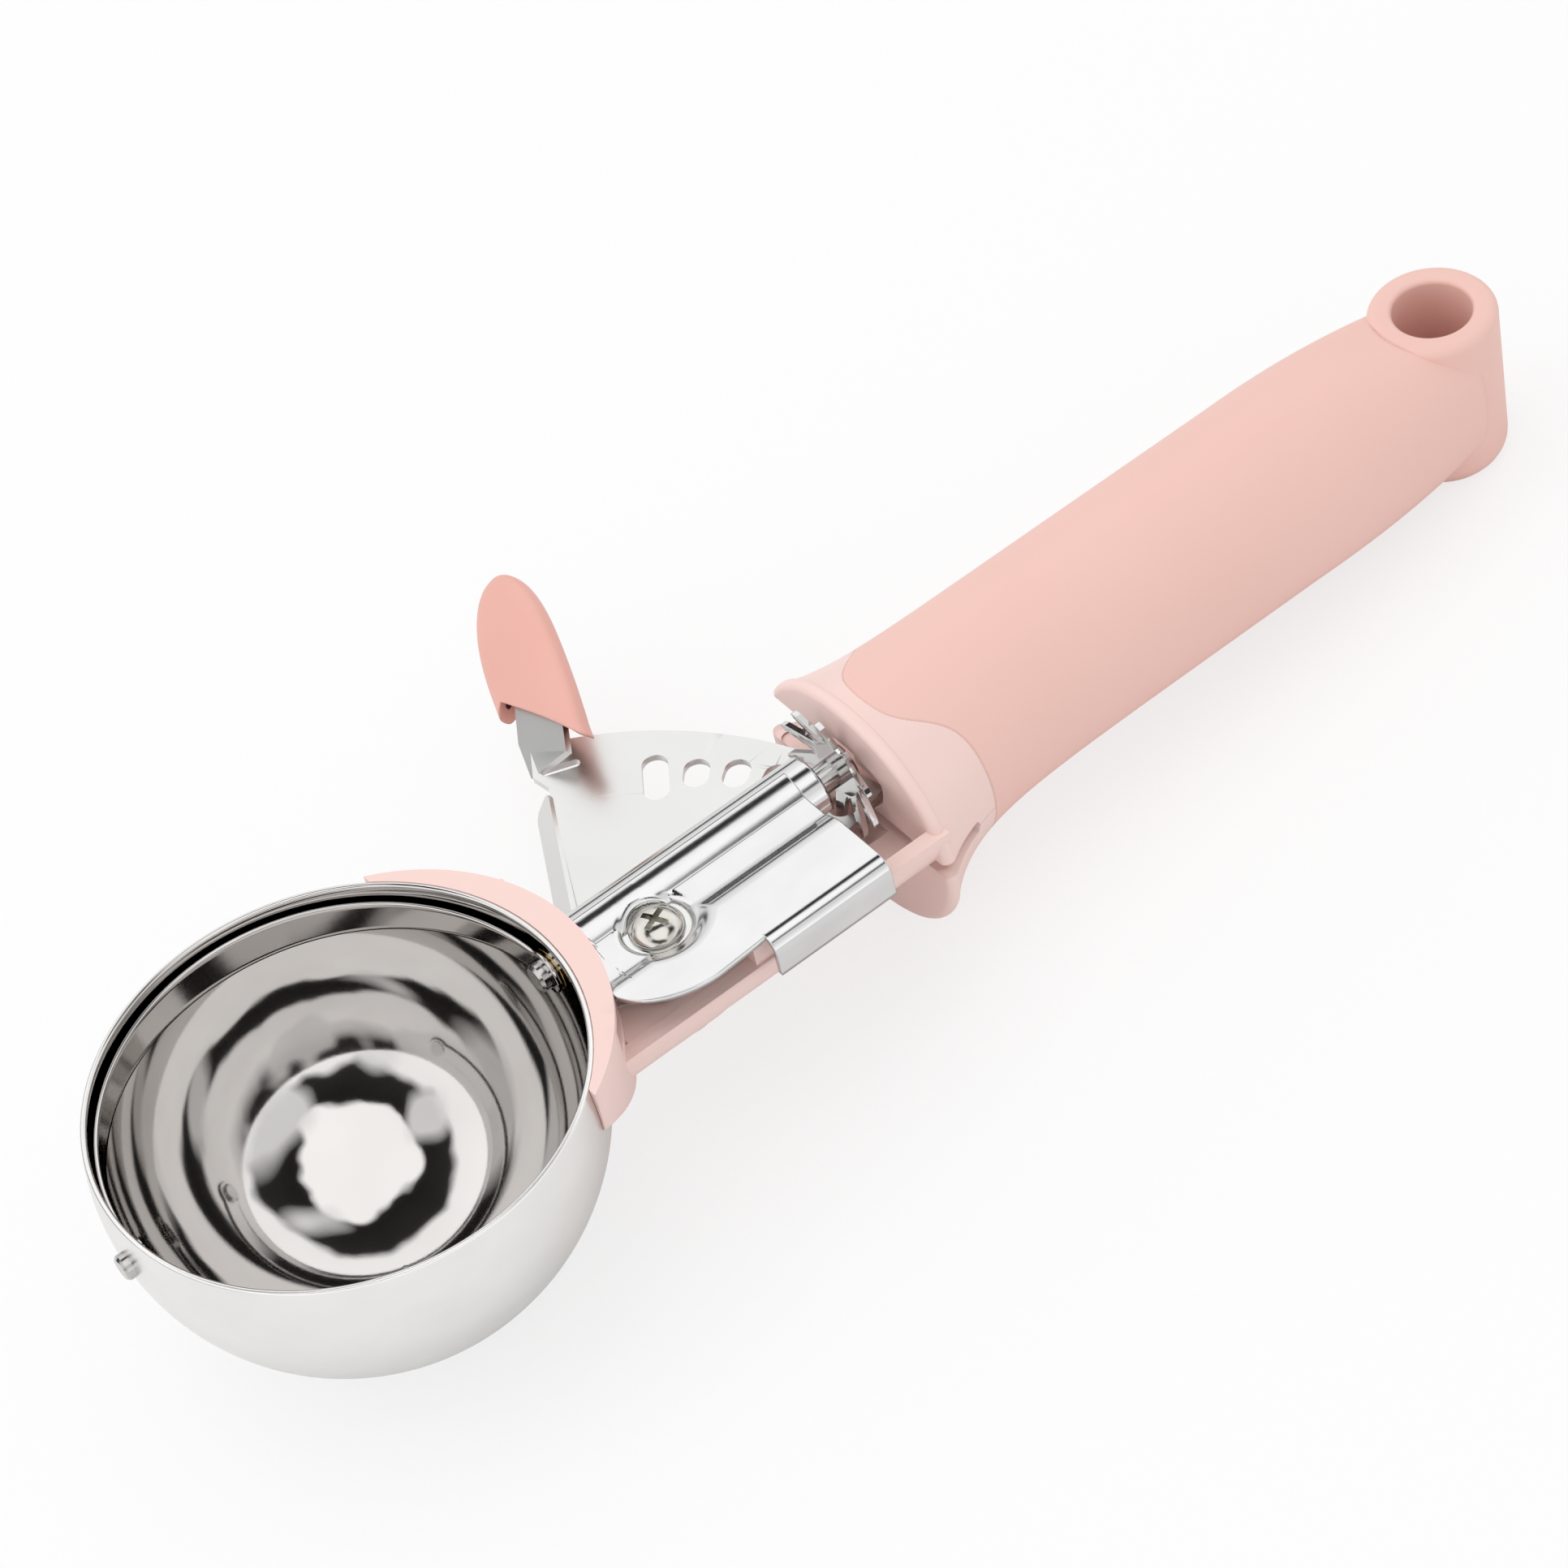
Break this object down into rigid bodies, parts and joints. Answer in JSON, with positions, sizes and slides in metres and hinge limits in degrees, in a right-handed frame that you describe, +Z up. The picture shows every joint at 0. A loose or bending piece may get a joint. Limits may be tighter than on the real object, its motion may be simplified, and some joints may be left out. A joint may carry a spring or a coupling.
{
  "type": "lever ice cream scoop",
  "caption": "Hand scoop with a round metal bowl, a scraper blade swept by a sprung thumb lever through a star wheel, and a moulded plastic handle with a hang hole.",
  "frame": {"origin": "on the table, under the middle of the scoop's bounding box, with the scoop lying on the bottom of its bowl and the foot of its hang loop", "axes": "+X from the bowl to the tail of the handle, +Y to the side of the thumb lever, +Z up, the way the bowl opens"},
  "size_m": [0.2192, 0.0936, 0.0404],
  "materials": {
    "bowl_steel": "satin outside and mirror inside, pressed stainless steel",
    "mirror_steel": "mirror-polished stainless steel",
    "bracket_steel": "tumble-polished stamped stainless steel",
    "lever_steel": "satin stamped stainless steel sheet",
    "shaft_steel": "turned stainless steel",
    "screw_steel": "nickel-plated pan-head screw and washer",
    "spring_steel": "drawn spring wire",
    "brass": "turned brass",
    "frame_plastic": "satin moulded pale pink plastic",
    "grip_plastic": "satin moulded pastel pink plastic",
    "pad_plastic": "satin moulded pink plastic"
  },
  "bodies": {
    "frame": {"bowl": "bowl_steel", "shaft_bush": "brass", "handle_frame": "frame_plastic", "grip_sleeve": "grip_plastic", "hang_loop": "grip_plastic", "mechanism_bracket": "bracket_steel", "pivot_screw": "screw_steel", "screw_washer": "screw_steel", "pivot_sleeve": "shaft_steel", "lever_washer": "screw_steel", "threaded_insert": "brass", "lever_return_spring": "spring_steel"},
    "lever": {"lever_plate": "lever_steel", "thumb_pad": "pad_plastic"},
    "shaft": {"drive_shaft": "shaft_steel", "thrust_collar": "shaft_steel", "star_wheel": "mirror_steel", "wheel_retainer": "shaft_steel", "scraper_blade": "mirror_steel", "front_pivot_pin": "shaft_steel"}
  },
  "joints": [
    {"name": "lever_pivot", "type": "hinge", "parent": "frame", "child": "lever", "pos_m": [-0.03427, -0.02153, 0.02132], "axis": [-0.0814, 0, -0.9967], "range_deg": [0, 38], "stiffness_Nm_per_rad": 0.6, "springref_deg": -28.65, "deforming": ["lever_return_spring"]},
    {"name": "shaft_spin", "type": "hinge", "parent": "frame", "child": "shaft", "pos_m": [-0.03669, -0.01503, 0.02854], "axis": [-0.9967, 0, 0.0814], "range_deg": [0, 152]}
  ],
  "couplings": [
    {"joint": "shaft_spin", "follows": "lever_pivot", "ratio": 4}
  ]
}
